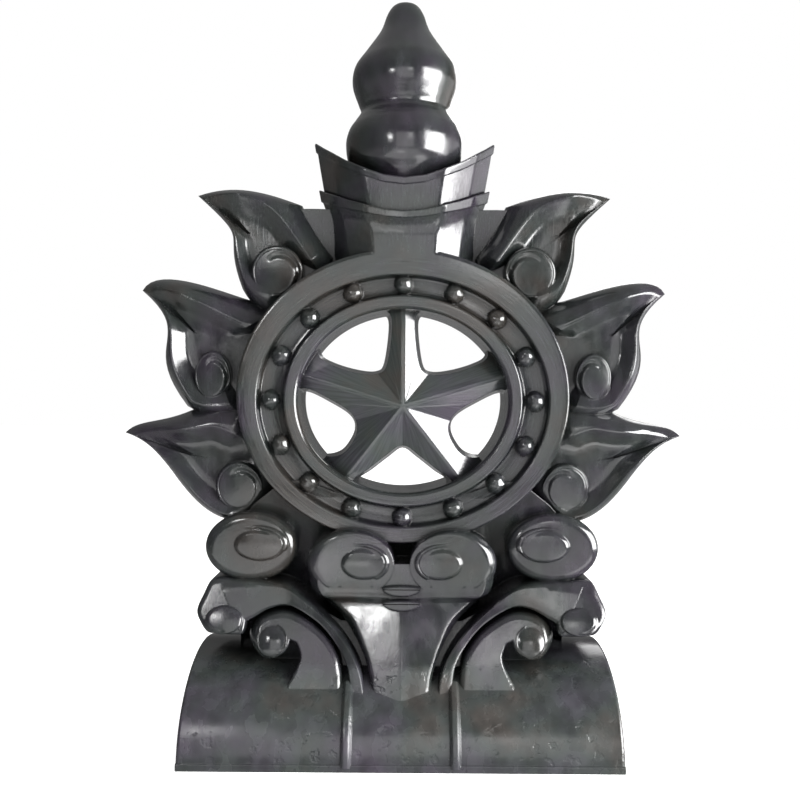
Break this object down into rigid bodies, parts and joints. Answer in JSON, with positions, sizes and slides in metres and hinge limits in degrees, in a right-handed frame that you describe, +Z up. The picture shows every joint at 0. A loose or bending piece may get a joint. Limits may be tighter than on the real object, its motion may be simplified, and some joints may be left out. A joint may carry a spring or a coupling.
{
  "type": "roof ridge ornament",
  "caption": "Moulded centre ornament for a roof ridge: an arched saddle, scrolls, a beaded ring round a star, flame leaves, a boat-shaped cup and a gourd finial.",
  "frame": {"origin": "middle of the underside, on the plane that the saddle's two rims stand on", "axes": "+Z up, X along the roof ridge, -Y toward the show side"},
  "size_m": [0.4598, 0.1898, 0.598],
  "materials": {
    "resin": "glossy dark grey, as moulded"
  },
  "bodies": {
    "root": {"ridge_ornament": "resin"}
  },
  "joints": []
}
